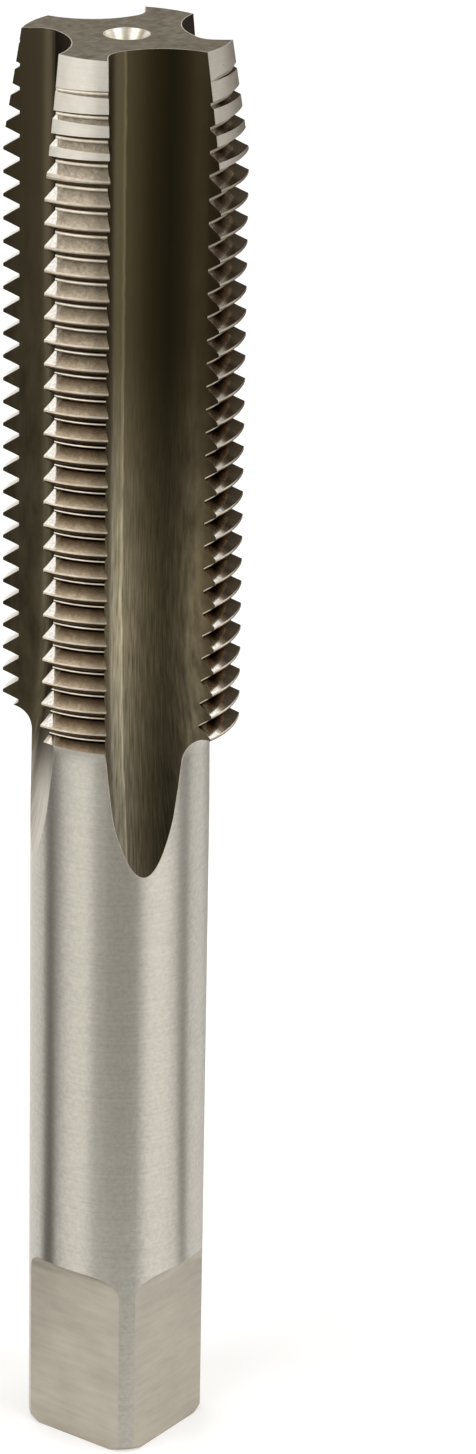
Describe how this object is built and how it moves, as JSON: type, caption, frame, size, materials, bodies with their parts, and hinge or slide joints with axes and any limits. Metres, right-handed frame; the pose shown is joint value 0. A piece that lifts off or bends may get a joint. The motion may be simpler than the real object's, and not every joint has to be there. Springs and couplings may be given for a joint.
{
  "type": "thread tap",
  "caption": "Straight-fluted hand tap with a tapered lead, 60 degree thread, plain round shank and square drive end.",
  "frame": {"origin": "middle of the end face of the drive square, on the tap's axis", "axes": "+Z along the tap's axis, from the drive square to the lead; +X and +Y square to two flats of the drive square"},
  "size_m": [0.0144, 0.0144, 0.0898],
  "materials": {
    "ground_steel": "ground high-speed steel, bright on the shank and crests, darker in the flutes"
  },
  "bodies": {
    "root": {"tap": "ground_steel"}
  },
  "joints": []
}
